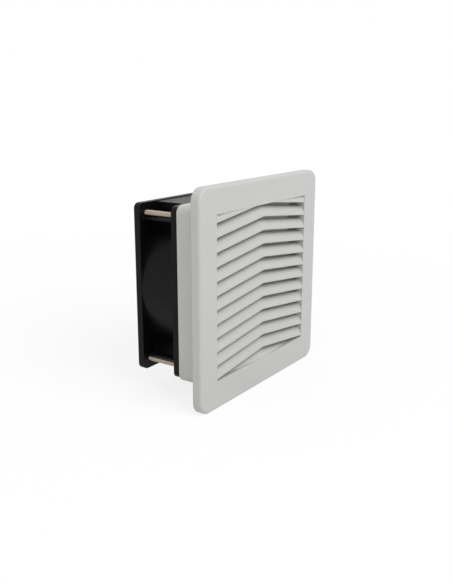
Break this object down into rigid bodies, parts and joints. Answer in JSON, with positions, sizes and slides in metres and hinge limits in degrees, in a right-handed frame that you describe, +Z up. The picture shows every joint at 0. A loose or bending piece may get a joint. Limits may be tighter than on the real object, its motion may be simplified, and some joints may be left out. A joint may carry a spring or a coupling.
{
  "type": "filter fan",
  "caption": "Square filter fan for a cabinet wall: a louvred cover over a filter mat and a snap-in duct that carries an axial fan.",
  "frame": {"origin": "centre of the wall cut-out in the plane of the wall's outer surface, which is the back face of the wall flange", "axes": "+X to the right seen from the front, +Y back into the cabinet, square to the wall, +Z up"},
  "size_m": [0.15, 0.0679, 0.15],
  "materials": {
    "cover_plastic": "fine textured",
    "base_plastic": "satin moulded",
    "filter_fleece": "felted fleece",
    "gasket_foam": "matte foam",
    "clip_plastic": "satin",
    "plated_steel": "zinc plated",
    "spring_steel": "drawn",
    "cast_housing": "black cathodic paint on die casting",
    "bearing_brass": "turned",
    "bearing_steel": "ground",
    "cap_aluminium": "satin",
    "motor_iron": "laminated",
    "bobbin_plastic": "moulded",
    "winding_copper": "enamelled copper",
    "cup_steel": "zinc plated",
    "impeller_plastic": "semi gloss",
    "terminal_plastic": "satin",
    "terminal_brass": "tinned",
    "wire_insulation": "smooth",
    "screw_steel": "yellow-grey zinc plated"
  },
  "bodies": {
    "base": {"filter_mat": "filter_fleece", "filter_grid": "base_plastic", "base_frame": "base_plastic", "panel_gasket": "gasket_foam", "clip_pins": "plated_steel", "clip_springs": "spring_steel", "captive_nuts": "plated_steel", "fan_housing": "cast_housing", "bearing_tube": "bearing_brass", "front_bearing": "bearing_steel", "rear_bearing": "bearing_steel", "preload_spring": "spring_steel", "bearing_cap": "cap_aluminium", "stator_core": "motor_iron", "stator_bobbins": "bobbin_plastic", "stator_windings": "winding_copper", "terminal_block": "terminal_plastic", "terminal_tabs": "terminal_brass", "earth_tab": "terminal_brass", "lead_wires": "wire_insulation", "fan_screws": "screw_steel"},
    "cover": {"louvre_cover": "cover_plastic", "cover_tongues": "cover_plastic"},
    "rotor": {"rotor_cup": "cup_steel", "rotor_laminations": "motor_iron", "impeller": "impeller_plastic", "shaft": "bearing_steel", "retaining_ring": "spring_steel"},
    "top_left_catch": {"clip_top_left": "clip_plastic"},
    "top_right_catch": {"clip_top_right": "clip_plastic"},
    "bottom_left_catch": {"clip_bottom_left": "clip_plastic"},
    "bottom_right_catch": {"clip_bottom_right": "clip_plastic"}
  },
  "joints": [
    {"name": "cover_pull", "type": "slide", "parent": "base", "child": "cover", "axis": [0, -1, 0], "range_m": [0, 0.018]},
    {"name": "fan_spin", "type": "hinge", "parent": "base", "child": "rotor", "pos_m": [0, 0.04, 0], "axis": [0, 1, 0], "continuous": true},
    {"name": "top_left_catch_fold", "type": "hinge", "parent": "base", "child": "top_left_catch", "pos_m": [-0.032, 0.0104, 0.0592], "axis": [1, 0, 0], "range_deg": [0, 16], "stiffness_Nm_per_rad": 0.05},
    {"name": "bottom_left_catch_fold", "type": "hinge", "parent": "base", "child": "bottom_left_catch", "pos_m": [-0.032, 0.0104, -0.0592], "axis": [1, 0, 0], "range_deg": [-16, 0], "stiffness_Nm_per_rad": 0.05},
    {"name": "top_right_catch_fold", "type": "hinge", "parent": "base", "child": "top_right_catch", "pos_m": [0.032, 0.0104, 0.0592], "axis": [1, 0, 0], "range_deg": [0, 16], "stiffness_Nm_per_rad": 0.05},
    {"name": "bottom_right_catch_fold", "type": "hinge", "parent": "base", "child": "bottom_right_catch", "pos_m": [0.032, 0.0104, -0.0592], "axis": [1, 0, 0], "range_deg": [-16, 0], "stiffness_Nm_per_rad": 0.05}
  ]
}
